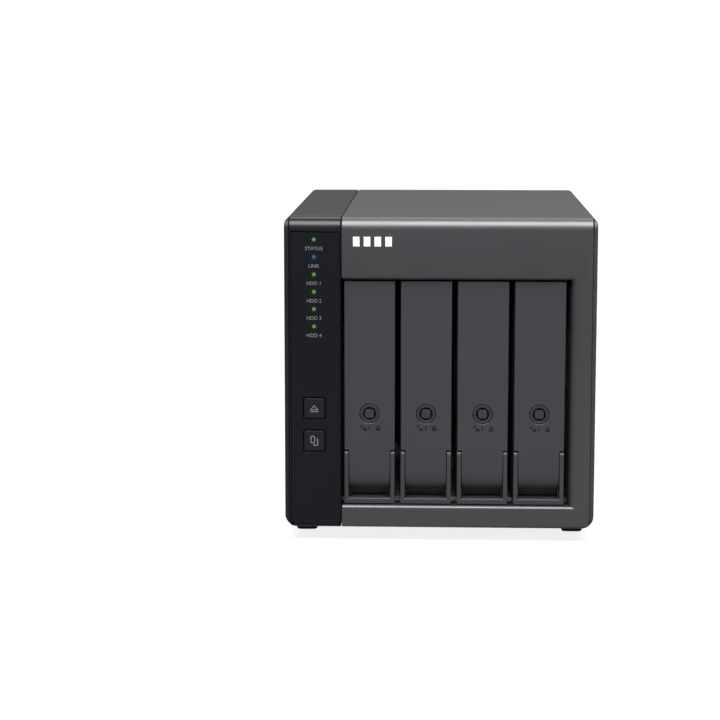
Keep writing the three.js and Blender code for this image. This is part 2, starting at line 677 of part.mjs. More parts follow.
// A U of two arms and a bar, with a pin at the top of each arm.
function trayHandle() {
  const half = TRAY_FACE_WIDTH / 2;
  const y0 = TRAY_FACE_Y;
  const reach = HANDLE.thick / 2;
  const arm = new THREE.Shape();
  arm.moveTo(y0, HANDLE.bottom);
  arm.lineTo(y0 + HANDLE.thick, HANDLE.bottom);
  arm.lineTo(y0 + HANDLE.thick, HANDLE.pivotZ);
  arm.absarc(HANDLE.pivotY, HANDLE.pivotZ, reach, 0, Math.PI);
  arm.lineTo(y0, HANDLE.bottom);
  const inner = half - HANDLE.arm;
  const pin = (xs) => rodX(HANDLE.pivotY, HANDLE.pivotZ, HANDLE.pin, xs);
  return join(
    alongX(arm, [-half, -inner], 8),
    alongX(arm, [inner, half], 8),
    block([-half, half], [y0, y0 + HANDLE.thick], [HANDLE.bottom, HANDLE.bottom + HANDLE.bar]),
    pin([-inner - 0.2, -HANDLE.pinEnd]),
    pin([HANDLE.pinEnd, inner + 0.2]),
  );
}

// A barrel with a cam on its tail, drawn about its own axis. The key fits the groove in its face,
// which is round outside and square inside, and a nick in the square post shows the turn.
function trayLock() {
  const y0 = TRAY_FACE_Y + 0.1;
  const { radius, groove, post, postCorner } = LOCK;
  const barrel = rodY(0, 0, radius, [y0, -92], 24);
  const tail = rodY(0, 0, 2.5, [-92.5, -88.6], 12);
  const cam = block([-2.4, 2.4], [-90.6, -89], [-2, 9]);
  const postOutline = roundedRectangle([-post, post], [-post, post], postCorner);
  const keyGroove = cut(
    rodY(0, 0, groove, [y0 - 1, y0 + LOCK.depth], 24),
    alongY(postOutline, [y0 - 2, y0 + LOCK.depth + 1.5], 3),
  );
  const nick = block([-0.3, 0.3], [y0 - 1, y0 + 0.5], [1.2, post + 0.5]);
  return cut(join(barrel, tail, cam), keyGroove, nick);
}

// A side plate with windows, a rail above and below, and a ridge on the outside of each rail.
function trayFrame() {
  const { half, base, rail, z0, z1, y0, y1, railTo } = FRAME;
  const plate = block([-half, -half + base], [y0, y1], [z0, z1]);
  const windows = [];
  for (let n = 0; n < 5; n++) {
    const y = y0 + 12 + n * 28;
    windows.push(block([-half - 1, -half + base + 1], [y, y + 16], [44, 112]));
  }
  const rails = [
    block([-half, railTo], [y0, y1], [z0, z0 + rail]),
    block([-half, railTo], [y0, y1], [z1 - rail, z1]),
  ];
  const ridges = [
    block([-RIDGE_HALF, RIDGE_HALF], [y0 + 2, y1], [TRAY_BOTTOM, z0 + 1]),
    block([-RIDGE_HALF, RIDGE_HALF], [y0 + 2, y1], [z1 - 1, TRAY_TOP]),
  ];
  const cheeks = [
    block([-half, railTo], [y0, y0 + 1.8], [z0, z0 + 12]),
    block([-half, railTo], [y0, y0 + 1.8], [z1 - 12, z1]),
  ];
  return join(cut(plate, join(...windows)), ...rails, ...ridges, ...cheeks);
}

// A strip that snaps inside a rail and pins the drive without screws.
function driveClip(z) {
  const strip = block([-9, 6.5], [-70, 46], [z - 0.8, z + 0.8]);
  const tab = block([6, 8], [-34, -14], [z - 0.8, z + 0.8]);
  return join(strip, tab);
}

for (let n = 0; n < BAYS; n++) {
  const tray = new THREE.Group();
  tray.position.x = bayX(n);
  const name = (piece) => `tray_${n + 1}_${piece}`;
  place(tray, name("front"), trayFront(), trayPlastic);
  place(tray, name("handle"), trayHandle(), trayPlastic);
  place(tray, name("lock"), trayLock(), innerPlastic, [0, 0, LOCK.z]);
  place(tray, name("frame"), trayFrame(), innerPlastic);
  const clipInset = FRAME.rail + GAP + 0.8;
  place(tray, name("upper_clip"), driveClip(FRAME.z1 - clipInset), whitePlastic);
  place(tray, name("lower_clip"), driveClip(FRAME.z0 + clipInset), whitePlastic);
  group.add(tray);
}

export default group;
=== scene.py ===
import json
import math

import bmesh
import bpy
import numpy as np
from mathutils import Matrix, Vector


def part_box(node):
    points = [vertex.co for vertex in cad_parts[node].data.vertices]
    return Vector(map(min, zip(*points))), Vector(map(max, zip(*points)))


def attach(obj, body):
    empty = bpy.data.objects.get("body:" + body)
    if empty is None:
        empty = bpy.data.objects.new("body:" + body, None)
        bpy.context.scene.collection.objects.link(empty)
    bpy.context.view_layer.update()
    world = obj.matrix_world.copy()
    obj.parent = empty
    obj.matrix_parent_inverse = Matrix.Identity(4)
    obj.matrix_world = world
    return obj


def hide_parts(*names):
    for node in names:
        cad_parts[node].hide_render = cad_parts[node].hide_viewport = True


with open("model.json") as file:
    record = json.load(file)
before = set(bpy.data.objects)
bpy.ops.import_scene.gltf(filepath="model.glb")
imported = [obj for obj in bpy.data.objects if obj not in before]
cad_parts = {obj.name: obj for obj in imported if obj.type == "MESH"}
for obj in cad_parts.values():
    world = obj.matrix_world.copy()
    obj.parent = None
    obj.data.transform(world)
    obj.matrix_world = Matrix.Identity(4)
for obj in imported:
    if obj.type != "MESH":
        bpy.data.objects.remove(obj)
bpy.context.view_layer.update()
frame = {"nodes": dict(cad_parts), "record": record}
nodes = frame["nodes"]
bodies = frame["record"]["behaviour"]["bodies"]
bodyOf = {node: body for body, members in bodies.items() for node in members}
mm = 0.001


def middle(node):
    low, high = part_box(node)
    return (low + high) / 2 / mm


cameraSetup = {"x": 2.7, "y": -1177, "z": 253.9, "down": 8.44, "left": 2.346, "lens": 105}
lightSetup = {
    "strip": {"at": (0, -0.62, 1.15), "size": (1.5, 0.8), "power": 44},
    "front": {"at": (0.3, -1.6, 0.7), "size": (1.2, 1.0), "power": 2},
    "rear": {"at": (0.3, 1.0, 1.5), "size": (1.4, 0.8), "power": 9},
}
lightAim = 0.08  # height that every light points at, in metres
skySetup = {"light": 0.3, "seen": 1.05}


def buildCamera():
    data = bpy.data.cameras.new("view")
    data.lens = cameraSetup["lens"]
    data.clip_start = 0.01
    camera = bpy.data.objects.new("view", data)
    camera.location = [cameraSetup[axis] * mm for axis in "xyz"]
    camera.rotation_euler = (math.radians(90 - cameraSetup["down"]), 0, math.radians(cameraSetup["left"]))
    bpy.context.collection.objects.link(camera)
    bpy.context.scene.camera = camera


def buildLights():
    for name, setup in lightSetup.items():
        data = bpy.data.lights.new(name, "AREA")
        data.shape = "RECTANGLE"
        data.size, data.size_y = setup["size"]
        data.energy = setup["power"]
        light = bpy.data.objects.new(name, data)
        light.location = setup["at"]
        aim = -light.location.copy()
        aim.z += lightAim
        light.rotation_euler = aim.to_track_quat("-Z", "Y").to_euler()
        bpy.context.collection.objects.link(light)
    # a white backdrop that lights the object less than it shows
    sky = bpy.data.worlds.new("sky")
    sky.use_nodes = True
    tree = sky.node_tree
    ray = tree.nodes.new("ShaderNodeLightPath")
    strength = tree.nodes.new("ShaderNodeMapRange")
    strength.inputs["To Min"].default_value = skySetup["light"]
    strength.inputs["To Max"].default_value = skySetup["seen"]
    tree.links.new(ray.outputs["Is Camera Ray"], strength.inputs["Value"])
    tree.links.new(strength.outputs["Result"], tree.nodes["Background"].inputs["Strength"])
    tree.nodes["Background"].inputs["Color"].default_value = (1, 1, 1, 1)
    bpy.context.scene.world = sky
    bpy.context.scene.view_settings.view_transform = "Standard"


print("camera and lights")
buildCamera()
buildLights()


class Wire:
    # an output socket; sums written with it add Math nodes
    def __init__(self, recipe, socket):
        self.recipe = recipe
        self.socket = socket

    def combine(self, operation, first, second):
        return self.recipe.add("ShaderNodeMath", {"operation": operation}, {0: first, 1: second})

    def __add__(self, other):
        return self.combine("ADD", self, other)

    def __radd__(self, other):
        return self.combine("ADD", other, self)

    def __sub__(self, other):
        return self.combine("SUBTRACT", self, other)

    def __rsub__(self, other):
        return self.combine("SUBTRACT", other, self)

    def __mul__(self, other):
        return self.combine("MULTIPLY", self, other)

    def __rmul__(self, other):
        return self.combine("MULTIPLY", other, self)

    def above(self, limit):
        return self.combine("GREATER_THAN", self, limit)


class Recipe:
    # one material; add() makes any node from its settings and its inputs
    def __init__(self, name):
        self.material = bpy.data.materials.new(name)
        self.material.use_nodes = True
        self.tree = self.material.node_tree
        self.tree.nodes.clear()

    def add(self, kind, settings, inputs, output=0):
        node = self.tree.nodes.new(kind)
        for key, value in settings.items():
            setattr(node, key, value)
        for key, value in inputs.items():
            if isinstance(value, Wire):
                self.tree.links.new(value.socket, node.inputs[key])
            else:
                node.inputs[key].default_value = value
        return Wire(self, node.outputs[output]) if node.outputs else None

    def place(self, stretch=(1, 1, 1)):
        here = self.add("ShaderNodeTexCoord", {}, {}, "Object")
        return self.add("ShaderNodeMapping", {}, {"Vector": here, "Scale": stretch})

    def noise(self, scale, detail=2, stretch=(1, 1, 1)):
        inputs = {"Vector": self.place(stretch), "Scale": scale, "Detail": detail}
        return self.add("ShaderNodeTexNoise", {}, inputs)

    def cells(self, scale, output="Distance"):
        inputs = {"Vector": self.place(), "Scale": scale}
        return self.add("ShaderNodeTexVoronoi", {"feature": "F1"}, inputs, output)

    def cellValues(self, scale):
        # one random value for each cell
        return self.add("ShaderNodeSeparateXYZ", {}, {0: self.cells(scale, "Color")})

    def mixColour(self, factor, first, second):
        inputs = {0: factor, 6: first, 7: second}
        return self.add("ShaderNodeMix", {"data_type": "RGBA"}, inputs, 2)

    def bump(self, height, depth):
        return self.add("ShaderNodeBump", {}, {"Height": height, "Distance": depth, "Strength": 1.0})

    def shade(self, constants, varying):
        surface = self.add("ShaderNodeBsdfPrincipled", {}, {**constants, **varying})
        self.add("ShaderNodeOutputMaterial", {}, {"Surface": surface})
        return self.material


def tone(red, green, blue):
    # a screen colour, 0 to 255, as the linear colour that shaders use
    value = np.array((red, green, blue)) / 255
    linear = np.where(value <= 0.04045, value / 12.92, ((value + 0.055) / 1.055) ** 2.4)
    return (*linear.tolist(), 1.0)


def mouldedPlastic(name, look):
    # grain from a spark-eroded mould, a slow drift of the tone and patches of handling shine
    recipe = Recipe(name)
    grain = recipe.noise(look["grainScale"], 3)
    drift = recipe.noise(look["driftScale"], 2)
    handling = recipe.noise(look["patchScale"], 4, look["patchStretch"])
    darker, lighter = look["colours"]
    colour = recipe.mixColour(drift, darker, lighter)
    shine = (handling - 0.5) * look["patches"]
    roughness = look["roughness"] + shine + (grain - 0.5) * look["grainGloss"]
    normal = recipe.bump(grain, look["grainDepth"])
    constants = {"Specular IOR Level": look["specular"]}
    return recipe.shade(constants, {"Base Color": colour, "Roughness": roughness, "Normal": normal})


def coatedSheet(name, look):
    # powder coat: an orange-peel ripple with fine metal flakes caught in it
    recipe = Recipe(name)
    peel = recipe.noise(look["peelScale"], 2)
    drift = recipe.noise(look["driftScale"], 2)
    flake = recipe.cellValues(look["flakeScale"]).above(look["flakeFrom"])
    darker, lighter = look["colours"]
    base = recipe.mixColour(drift, darker, lighter)
    colour = recipe.mixColour(flake * look["flakes"], base, look["flakeColour"])
    roughness = look["roughness"] + (peel - 0.5) * look["peelGloss"] + (drift - 0.5) * look["driftGloss"]
    normal = recipe.bump(peel, look["peelDepth"])
    constants = {"Specular IOR Level": look["specular"], "Metallic": look["metallic"]}
    return recipe.shade(constants, {"Base Color": colour, "Roughness": roughness, "Normal": normal})


steelLook = {
    "dark": (0.24, 0.245, 0.25, 1), "light": (0.42, 0.425, 0.43, 1), "crystalScale": 150, "crystalGloss": 0.14,
    "rollingScale": 900, "rollingGloss": 0.12, "rollingDepth": 0.000006, "roughness": 0.5, "metallic": 0.95,
}


def galvanisedSteel(name):
    # zinc spangle: flat crystals of slightly different brightness, with rolling marks along the depth
    look, recipe = steelLook, Recipe(name)
    crystal = recipe.cellValues(look["crystalScale"])
    rolling = recipe.noise(look["rollingScale"], 2, (1, 0.02, 1))
    colour = recipe.mixColour(crystal, look["dark"], look["light"])
    roughness = look["roughness"] + crystal * look["crystalGloss"] + (rolling - 0.5) * look["rollingGloss"]
    normal = recipe.bump(rolling, look["rollingDepth"])
    varying = {"Base Color": colour, "Roughness": roughness, "Normal": normal}
    return recipe.shade({"Metallic": look["metallic"]}, varying)


scratchLook = {
    "alongScale": 2600, "acrossScale": 1900, "alongShare": 0.6, "acrossShare": 0.4, "gloss": 0.16,
    "depth": 0.000004, "tarnishScale": 160, "tarnish": 0.8,
}


def turnedMetal(name, colour, roughness):
    # plated or bare metal with fine scratches in two directions
    look, recipe = scratchLook, Recipe(name)
    along = recipe.noise(look["alongScale"], 2, (1, 1, 0.04))
    across = recipe.noise(look["acrossScale"], 2, (0.05, 1, 1))
    darker = tuple(look["tarnish"] * part for part in colour[:3]) + (1,)
    tint = recipe.mixColour(recipe.noise(look["tarnishScale"], 3), darker, colour)
    scratches = along * look["alongShare"] + across * look["acrossShare"]
    normal = recipe.bump(scratches, look["depth"])
    varying = {"Base Color": tint, "Roughness": roughness + (scratches - 0.5) * look["gloss"], "Normal": normal}
    return recipe.shade({"Metallic": 1.0}, varying)


boardLook = {
    "mask": (0.004, 0.042, 0.016, 1), "track": (0.016, 0.11, 0.04, 1), "tracksPerMetre": 620, "trackFrom": 0.36,
    "zoneScale": 85, "trackDepth": 0.00003, "hazeScale": 220, "roughness": 0.3, "haze": 0.2,
}


def circuitBoard(name):
    # solder mask over copper: tracks are thin bands of a folded ramp, gated by coarse cells
    look, recipe = boardLook, Recipe(name)
    split = recipe.place()
    parts = [recipe.add("ShaderNodeSeparateXYZ", {}, {0: split}, axis) for axis in range(3)]
    ways = []
    for part in (parts[0] + parts[1], parts[2]):
        steps = {0: part * look["tracksPerMetre"], 1: 0.5}
        ways.append(recipe.add("ShaderNodeMath", {"operation": "PINGPONG"}, steps).above(look["trackFrom"]))
    gate = recipe.cellValues(look["zoneScale"]).above(0.5)
    track = ways[0] * gate + ways[1] * (1 - gate)
    colour = recipe.mixColour(track, look["mask"], look["track"])
    normal = recipe.bump(track, look["trackDepth"])
    roughness = look["roughness"] + recipe.noise(look["hazeScale"], 3) * look["haze"]
    return recipe.shade({}, {"Base Color": colour, "Roughness": roughness, "Normal": normal})


rubberLook = {
    "clean": (0.009, 0.009, 0.01, 1), "dusty": (0.05, 0.049, 0.047, 1), "dustScale": 90, "dustFrom": 0.45,
    "dust": 0.5, "pebbleScale": 1400, "pebbleDepth": 0.00006, "roughness": 0.78, "dustGloss": 0.2,
}


def rubberPad(name):
    # matte rubber with a fine pebble and a trace of dust
    look, recipe = rubberLook, Recipe(name)
    dust = recipe.noise(look["dustScale"], 5)
    colour = recipe.mixColour((dust - look["dustFrom"]) * look["dust"], look["clean"], look["dusty"])
    normal = recipe.bump(recipe.cells(look["pebbleScale"]), look["pebbleDepth"])
    roughness = look["roughness"] + (dust - 0.5) * look["dustGloss"]
    varying = {"Base Color": colour, "Roughness": roughness, "Normal": normal}
    return recipe.shade({"Specular IOR Level": 0.25}, varying)


inkLook = {"coverScale": 3200, "thinnest": 0.78, "roughness": 0.5, "coverGloss": 0.2}


def printedInk(name, colour):
    # screen print: slightly uneven cover, so the tone breaks a little
    look, recipe = inkLook, Recipe(name)
    cover = recipe.noise(look["coverScale"], 3)
    thin = tuple(look["thinnest"] * part for part in colour[:3]) + (1,)
    tint = recipe.mixColour(cover, thin, colour)
    roughness = look["roughness"] + cover * look["coverGloss"]
    return recipe.shade({"Specular IOR Level": 0.3}, {"Base Color": tint, "Roughness": roughness})


lensLook = {"unlit": tone(20, 30, 22), "strength": 1.0, "cloudScale": 2400, "glowShare": 0.85, "cloudShare": 0.15}


def lightLens(name, rim, core):
    # a lit diffuser: brighter in the middle, read from each lens's own glow attribute
    look, recipe = lensLook, Recipe(name)
    glow = recipe.add("ShaderNodeAttribute", {"attribute_name": "glow"}, {}, "Fac")
    cloudy = recipe.noise(look["cloudScale"], 2)
    lit = recipe.mixColour(glow * look["glowShare"] + cloudy * look["cloudShare"], rim, core)
    constants = {"Base Color": look["unlit"], "Emission Strength": look["strength"], "Specular IOR Level": 0.2}
    return recipe.shade(constants, {"Emission Color": lit, "Roughness": 0.3 + cloudy * 0.1})


floorLook = {"cover": 0.2, "fadeFrom": 0.35, "fadeTo": 0.8, "drop": 0.05, "reach": 6000}


def paleFloor(name):
    # matt paper, thin enough for a faint shadow only, that fades into the backdrop with distance
    recipe = Recipe(name)
    fleck = recipe.noise(40, 3)
    colour = recipe.mixColour(fleck, (0.87, 0.87, 0.87, 1), (0.9, 0.9, 0.9, 1))
    away = recipe.add("ShaderNodeVectorMath", {"operation": "LENGTH"}, {0: recipe.place()}, "Value")
    span = {
        "Value": away, "From Min": floorLook["fadeFrom"], "From Max": floorLook["fadeTo"],
        "To Min": floorLook["cover"], "To Max": 0.0,
    }
    fade = recipe.add("ShaderNodeMapRange", {"interpolation_type": "SMOOTHSTEP"}, span, "Result")
    varying = {"Base Color": colour, "Roughness": 0.75 + fleck * 0.1, "Alpha": fade}
    return recipe.shade({"Specular IOR Level": 0.1}, varying)


plasticLooks = {
    "greyFront": {"colours": (tone(29, 30, 34), tone(33, 34, 38)), "roughness": 0.4, "specular": 0.9},
    "trayPlastic": {"colours": (tone(40, 41, 45), tone(44, 45, 49)), "roughness": 0.42, "specular": 0.5},
    "lockPlastic": {"colours": (tone(34, 35, 38), tone(38, 39, 42)), "roughness": 0.5, "specular": 0.4},
    "darkPlastic": {
        "colours": (tone(8, 9, 12), tone(11, 12, 15)), "roughness": 0.29, "specular": 0.32,
        "grainDepth": 0.000006,
    },
    "fasciaPlastic": {"colours": (tone(15, 16, 21), tone(18, 19, 24)), "roughness": 0.34, "specular": 0.12},
    "buttonPlastic": {"colours": (tone(20, 21, 25), tone(24, 25, 29)), "roughness": 0.42, "specular": 0.15},
    "innerPlastic": {"colours": (tone(19, 20, 21), tone(25, 26, 27)), "roughness": 0.5, "specular": 0.25},
    "smokedPlastic": {"colours": (tone(20, 26, 20), tone(30, 36, 28)), "roughness": 0.3, "specular": 0.3},
    "fanPlastic": {"colours": (tone(16, 16, 17), tone(22, 22, 23)), "roughness": 0.38, "specular": 0.45},
    "paleClip": {"colours": (tone(160, 162, 164), tone(180, 181, 182)), "roughness": 0.45, "specular": 0.5},
    "clipPlastic": {"colours": (tone(92, 94, 97), tone(106, 108, 111)), "roughness": 0.5, "specular": 0.4},
}
plasticDefaults = {
    "grainScale": 1900, "grainDepth": 0.000022, "grainGloss": 0.06, "driftScale": 14,
    "patchScale": 46, "patchStretch": (1, 1, 0.35), "patches": 0.1,
}
sheetLooks = {
    "greyCasing": {
        "colours": (tone(42, 43, 46), tone(47, 48, 51)), "flakeColour": tone(120, 122, 126),
        "flakes": 0.2, "roughness": 0.42, "specular": 0.5, "metallic": 0.25,
    },
    "darkCasing": {
        "colours": (tone(17, 17, 19), tone(22, 22, 24)), "flakeColour": tone(76, 78, 81),
        "flakes": 0.15, "roughness": 0.4, "specular": 0.26, "metallic": 0.08,
    },
    "guardCoat": {
        "colours": (tone(26, 26, 27), tone(34, 34, 35)), "flakeColour": tone(80, 80, 82),
        "flakes": 0.1, "roughness": 0.34, "specular": 0.5, "metallic": 0.2,
    },
}
sheetDefaults = {
    "peelScale": 520, "peelDepth": 0.000012, "peelGloss": 0.1, "driftScale": 9, "driftGloss": 0.08,
    "flakeScale": 5200, "flakeFrom": 0.9,
}


def makeFinishes():
    made = {name: mouldedPlastic(name, {**plasticDefaults, **look}) for name, look in plasticLooks.items()}
    made.update({name: coatedSheet(name, {**sheetDefaults, **look}) for name, look in sheetLooks.items()})
    made["steel"] = galvanisedSteel("steel")
    made["aluminium"] = turnedMetal("aluminium", (0.7, 0.71, 0.73, 1), 0.3)
    made["screwSteel"] = turnedMetal("screwSteel", (0.34, 0.34, 0.35, 1), 0.34)
    made["gold"] = turnedMetal("gold", (0.8, 0.55, 0.2, 1), 0.28)
    made["board"] = circuitBoard("board")
    made["rubber"] = rubberPad("rubber")
    made["whiteInk"] = printedInk("whiteInk", tone(244, 245, 246))
    made["greyInk"] = printedInk("greyInk", tone(112, 114, 118))
    made["darkInk"] = printedInk("darkInk", tone(10, 10, 12))
    made["greenLens"] = lightLens("greenLens", tone(34, 88, 30), tone(92, 172, 70))
    made["blueLens"] = lightLens("blueLens", tone(14, 44, 84), tone(44, 100, 160))
    made["floor"] = paleFloor("floor")
    return made


print("finishes")
finishes = makeFinishes()


def addPiece(name, mesh, finish, body, sharpAngle=32):
    mesh.materials.clear()
    mesh.materials.append(finishes[finish])
    mesh.shade_smooth()
    mesh.set_sharp_from_angle(angle=math.radians(sharpAngle))
    piece = bpy.data.objects.new(name, mesh)
    bpy.context.collection.objects.link(piece)
    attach(piece, body)
    return piece


def gridMesh(name, points, aroundRows=False, aroundCols=False, capped=False):
    # quads between neighbours of a rows x cols x 3 array in millimetres; a cap fills a whole row
    rows, cols = points.shape[:2]
    index = np.arange(rows * cols).reshape(rows, cols)
    first, last = index[0].tolist(), index[-1].tolist()
    if aroundRows:
        index = np.vstack([index, index[:1]])
    if aroundCols:
        index = np.hstack([index, index[:, :1]])
    corners = (index[:-1, :-1], index[1:, :-1], index[1:, 1:], index[:-1, 1:])
    faces = np.stack(corners, -1).reshape(-1, 4).tolist()
    if capped:
        faces += [first, last[::-1]]
    mesh = bpy.data.meshes.new(name)
    mesh.from_pydata((points.reshape(-1, 3) * mm).tolist(), [], faces)
    work = bmesh.new()
    work.from_mesh(mesh)
    bmesh.ops.remove_doubles(work, verts=work.verts, dist=1e-7)
    bmesh.ops.recalc_face_normals(work, faces=work.faces)
    work.to_mesh(mesh)
    work.free()
    return mesh


def joinMeshes(name, meshes):
    work = bmesh.new()
    for mesh in meshes:
        work.from_mesh(mesh)
    joined = bpy.data.meshes.new(name)
    work.to_mesh(joined)
    work.free()
    return joined


def revolve(name, profile, centre, sides=64):
    # a profile of (radius, y) pairs turned about an axis that runs along Y through centre
    turn = np.linspace(0, 2 * np.pi, sides, endpoint=False)
    radius, depth = np.array(profile, float).T
    x = centre[0] + radius[:, None] * np.cos(turn)
    z = centre[2] + radius[:, None] * np.sin(turn)
    y = np.broadcast_to(centre[1] + depth[:, None], x.shape)
    return gridMesh(name, np.stack([x, y, z], -1), aroundCols=True, capped=True)


def wire(name, line, radius, closed, sides=10):
    # a circle carried along a line that lies in an X-Z plane: one axis is Y, the other is across the line
    step = np.roll(line, -1, 0) - np.roll(line, 1, 0) if closed else np.gradient(line, axis=0)
    ahead = step / np.linalg.norm(step, axis=1, keepdims=True)
    across = np.stack([ahead[:, 2], np.zeros(len(line)), -ahead[:, 0]], -1)
    turn = np.linspace(0, 2 * np.pi, sides, endpoint=False)[None, :, None]
    outward = across[:, None] * np.cos(turn) + np.array([0, 1, 0]) * np.sin(turn)
    points = line[:, None] + radius * outward
    return gridMesh(name, points, aroundRows=closed, aroundCols=True, capped=not closed)


def atDepth(line, y):
    # (x, z) points as (x, y, z) points that share one y
    return np.stack([line[:, 0], np.full(len(line), y), line[:, 1]], -1)


def ribbon(name, line, width, front, thick, closed=False, facing=-1):
    # a flat band of even width along a line of (x, z) points, mitred where it turns
    line = np.array(line, float)
    before = line - np.roll(line, 1, 0)
    after = np.roll(line, -1, 0) - line
    if not closed:
        before[0], after[-1] = after[0], before[-1]
    sideways = [np.stack([-way[:, 1], way[:, 0]], -1) for way in (before, after)]
    first, second = [way / np.linalg.norm(way, axis=1, keepdims=True) for way in sideways]
    mitre = (first + second) / (1 + np.sum(first * second, axis=1, keepdims=True))
    left, right = line + mitre * width / 2, line - mitre * width / 2
    back = front - facing * thick
    sides = [atDepth(*side) for side in ((left, front), (right, front), (right, back), (left, back))]
    return gridMesh(name, np.stack(sides, 1), aroundRows=closed, aroundCols=True, capped=not closed)


def arc(centre, radius, start, end, steps):
    # points on a circle from one angle to another, in degrees
    angle = np.radians(np.linspace(start, end, steps))
    return np.stack([centre[0] + radius * np.cos(angle), centre[1] + radius * np.sin(angle)], -1)


def lettering(name, words, size, at, facing=-1, thick=0.05):
    # text laid on a wall that faces -Y or +Y; at is (x, y, z) of its middle, in millimetres
    curve = bpy.data.curves.new(name, "FONT")
    curve.body = words
    curve.size = size
    curve.align_x = "CENTER"
    curve.align_y = "CENTER"
    curve.extrude = thick / 2
    curve.resolution_u = 3
    source = bpy.data.objects.new(name, curve)
    bpy.context.collection.objects.link(source)
    ready = source.evaluated_get(bpy.context.evaluated_depsgraph_get())
    mesh = bpy.data.meshes.new_from_object(ready)
    bpy.data.objects.remove(source)
    count = len(mesh.vertices)
    flat = np.empty(count * 3, np.float32)
    mesh.vertices.foreach_get("co", flat)
    x, up, out = flat.reshape(-1, 3).T
    placed = np.stack([at[0] - facing * x, at[1] + facing * out, at[2] + up], -1) * mm
    mesh.vertices.foreach_set("co", placed.astype(np.float32).ravel())
    mesh.update()
    return mesh


# node or kind of node: finish, edge radius in mm; crisp gives an axis and the two values between which
# edges stay sharp, as at a seam
roundedParts = {
    "left_cover": ("darkCasing", 0.45), "right_cover": ("greyCasing", 0.45),
    "front_bezel": ("greyFront", 0.5), "control_column": ("darkPlastic", 0.35),
    "control_fascia": ("fasciaPlastic", 0.2), "rear_panel": ("darkCasing", 0.25),
    "eject_button": ("buttonPlastic", 0.35), "copy_button": ("buttonPlastic", 0.35),
    "set_button": ("paleClip", 0.3), "power_button": ("darkPlastic", 0.5),
    "usb_c_port": ("aluminium", 0.12), "power_inlet": ("innerPlastic", 0.3),
    "mode_switch_body": ("innerPlastic", 0.25), "heat_sink": ("aluminium", 0.2),
    "cage_left_side": ("steel", 0.3), "cage_right_side": ("steel", 0.3),
    "cage_floor": ("steel", 0.25), "cage_roof": ("steel", 0.25),
    "front": ("trayPlastic", 0.35), "handle": ("trayPlastic", 0.4), "lock": ("lockPlastic", 0.15),
    "frame": ("innerPlastic", 0.3), "upper_clip": ("clipPlastic", 0.3), "lower_clip": ("clipPlastic", 0.3),
    "mode_slider": ("paleClip", 0.2), "drive_connector": ("innerPlastic", 0.25), "foot": ("rubber", 0.9),
}
crisp = {
    "right_cover": (1, -104.2, -102.6), "front_bezel": (1, -104.2, -102),
    "control_column": (2, 0, 10.2), "front": (2, 47.5, 47.9),
}
plainParts = {
    "light_pipe": "smokedPlastic", "front_board": "board", "main_board": "board", "backplane_board": "board",
}
copySettings = {
    "weld": 0.03, "flatness": 0.6, "sharp": 30, "sideways": 135, "segments": 3, "room": 0.42, "least": 0.5,
}


def partKind(node):
    if node in roundedParts:
        return node
    if node.startswith("tray_"):
        return node.split("_", 2)[2]
    for kind in ("mode_slider", "drive_connector", "foot"):
        if node.startswith(kind):
            return kind
    return None


def roomBeside(edge):
    # the shortest edge that leaves either end sideways, which a rounding would eat into
    room = 1.0  # metres, longer than any edge
    for corner in edge.verts:
        along = edge.other_vert(corner).co - corner.co
        for other in corner.link_edges:
            way = other.other_vert(corner).co - corner.co
            if other is not edge and along.angle(way, 0) < math.radians(copySettings["sideways"]):
                room = min(room, way.length)
    return room


def markEdges(work, radius, band):
    # each sharp edge takes its share of the full radius, from the room that it has
    share = work.edges.layers.float.new("bevel_weight_edge")
    for edge in work.edges:
        if len(edge.link_faces) != 2 or edge.calc_face_angle(0) < math.radians(copySettings["sharp"]):
            continue
        if band and all(band[1] < corner.co[band[0]] / mm < band[2] for corner in edge.verts):
            continue
        room = copySettings["room"] * roomBeside(edge) / (radius * mm)
        edge[share] = min(1, room) if room > copySettings["least"] else 0


def roundedCopy(node, finish, radius):
    # the node's loose triangles welded and flattened into faces, with its edges rounded
    mesh = nodes[node].data.copy()
    mesh.name = node + "_rounded"
    if "custom_normal" in mesh.attributes:
        mesh.attributes.remove(mesh.attributes["custom_normal"])
    work = bmesh.new()
    work.from_mesh(mesh)
    bmesh.ops.remove_doubles(work, verts=work.verts, dist=copySettings["weld"] * mm)
    flat = math.radians(copySettings["flatness"])
    bmesh.ops.dissolve_limit(work, angle_limit=flat, verts=work.verts, edges=work.edges)
    markEdges(work, radius, crisp.get(partKind(node)))
    work.to_mesh(mesh)
    work.free()
    piece = addPiece(mesh.name, mesh, finish, bodyOf[node], copySettings["sharp"])
    edges = piece.modifiers.new("edges", "BEVEL")
    edges.width = radius * mm
    edges.segments = copySettings["segments"]
    edges.limit_method = "WEIGHT"
    edges.use_clamp_overlap = False
    edges.harden_normals = True
    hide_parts(node)


def finishModelledParts():
    for node in sorted(nodes):
        kind = partKind(node)
        if kind:
            roundedCopy(node, *roundedParts[kind])
        elif node in plainParts:
            nodes[node].data.materials.clear()
            nodes[node].data.materials.append(finishes[plainParts[node]])


print("rounded copies")
finishModelledParts()

lightRow = {
    "words": ("STATUS", "LINK", "HDD 1", "HDD 2", "HDD 3", "HDD 4"), "blue": "LINK", "size": 2.6, "drop": 4.7,
    "first": 157.4, "pitch": 8.96, "half": 1.12, "power": 4, "bulge": 0.12, "proud": 0.05, "skirt": 1.2,
}


